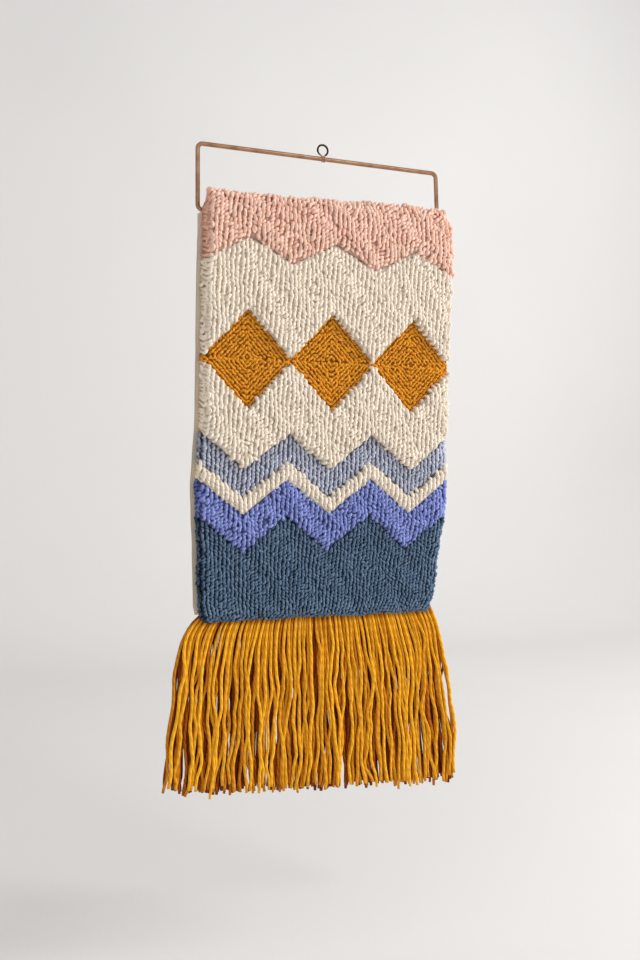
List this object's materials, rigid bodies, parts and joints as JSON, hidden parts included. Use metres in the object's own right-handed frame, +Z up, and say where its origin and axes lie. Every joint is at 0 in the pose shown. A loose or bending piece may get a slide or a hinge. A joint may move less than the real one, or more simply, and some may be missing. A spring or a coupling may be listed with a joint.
{
  "type": "tufted wall hanging with wire hanger",
  "caption": "Thick looped pile on a cloth backing, hung by a sleeve from a rectangular wire hanger with an eye, with a long yarn fringe along its foot.",
  "frame": {"origin": "the hanging point: inside top of the eye on the hanger's bar, where the wall nail carries it", "axes": "+Z up, +X to the viewer's right, the pile faces -Y and the wall is on the +Y side"},
  "size_m": [0.355, 0.045, 0.762],
  "materials": {
    "copper_wire": "satin copper-coloured wire",
    "eye_wire": "dull bronze wire",
    "backing_cloth": "plain woven cloth",
    "pink_yarn": "chunky wool loops",
    "cream_yarn": "chunky wool loops",
    "gold_yarn": "fine low wool loops",
    "grey_blue_yarn": "fine low wool loops",
    "periwinkle_yarn": "chunky wool loops",
    "navy_yarn": "fine low wool loops",
    "mustard_yarn": "soft single-ply fringe yarn"
  },
  "bodies": {
    "root": {"hanger": "copper_wire", "eye": "eye_wire", "backing": "backing_cloth", "pile_pink": "pink_yarn", "pile_cream_upper": "cream_yarn", "pile_cream_lower": "cream_yarn", "pile_cream_stripe": "cream_yarn", "pile_gold_left": "gold_yarn", "pile_gold_middle": "gold_yarn", "pile_gold_right": "gold_yarn", "pile_grey_blue": "grey_blue_yarn", "pile_periwinkle": "periwinkle_yarn", "pile_navy": "navy_yarn", "fringe": "mustard_yarn"}
  },
  "joints": []
}
